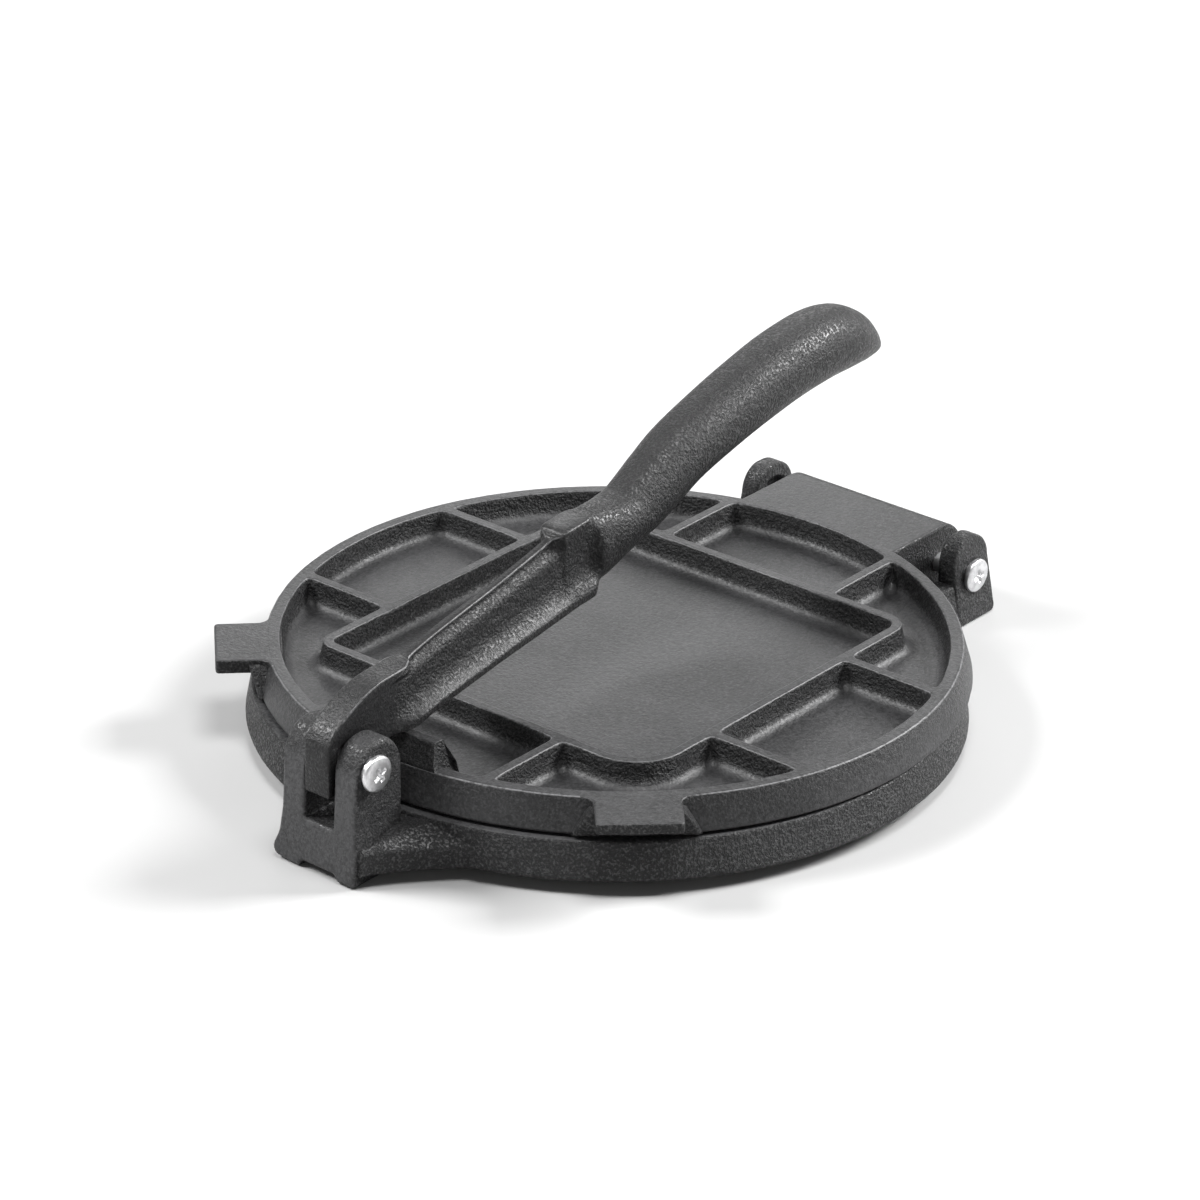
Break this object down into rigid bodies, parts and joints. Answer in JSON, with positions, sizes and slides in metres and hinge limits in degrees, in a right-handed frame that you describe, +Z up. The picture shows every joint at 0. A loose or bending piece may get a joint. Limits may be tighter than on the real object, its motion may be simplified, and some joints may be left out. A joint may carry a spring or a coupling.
{
  "type": "tortilla press",
  "caption": "Cast-iron tortilla press: hollow round base with a front clevis, ribbed hinged lid and a long lever handle that presses the lid down.",
  "frame": {"origin": "on the table, under the middle of the whole press: on its centre plane, midway between the front of the clevis and the rear of the lid's hinge barrel, 5.35 mm behind the centre of the lower disc", "axes": "+Z up, -Y from the disc towards the handle's clevis, +Y towards the lid's hinge, +X to the side of the screw heads"},
  "size_m": [0.2058, 0.2534, 0.0964],
  "materials": {
    "cast_iron_base": "rough sand-cast black",
    "cast_iron_lid": "rough sand-cast black with ground top edges",
    "cast_iron_handle": "rough sand-cast black with smoother grip",
    "zinc_screw": "bright zinc-plated steel"
  },
  "bodies": {
    "base": {"base_plate": "cast_iron_base", "handle_pivot_screw": "zinc_screw", "hinge_screw": "zinc_screw"},
    "lid": {"top_plate": "cast_iron_lid"},
    "handle": {"handle": "cast_iron_handle"}
  },
  "joints": [
    {"name": "handle_pivot", "type": "hinge", "parent": "base", "child": "handle", "pos_m": [0, -0.11935, 0.033], "axis": [1, 0, 0], "range_deg": [0, 168]},
    {"name": "lid_hinge", "type": "hinge", "parent": "base", "child": "lid", "pos_m": [0, 0.11465, 0.0145], "axis": [-1, 0, 0], "range_deg": [0, 105]}
  ],
  "couplings": [
    {"joint": "lid_hinge", "follows": "handle_pivot", "ratio": 0.12}
  ]
}
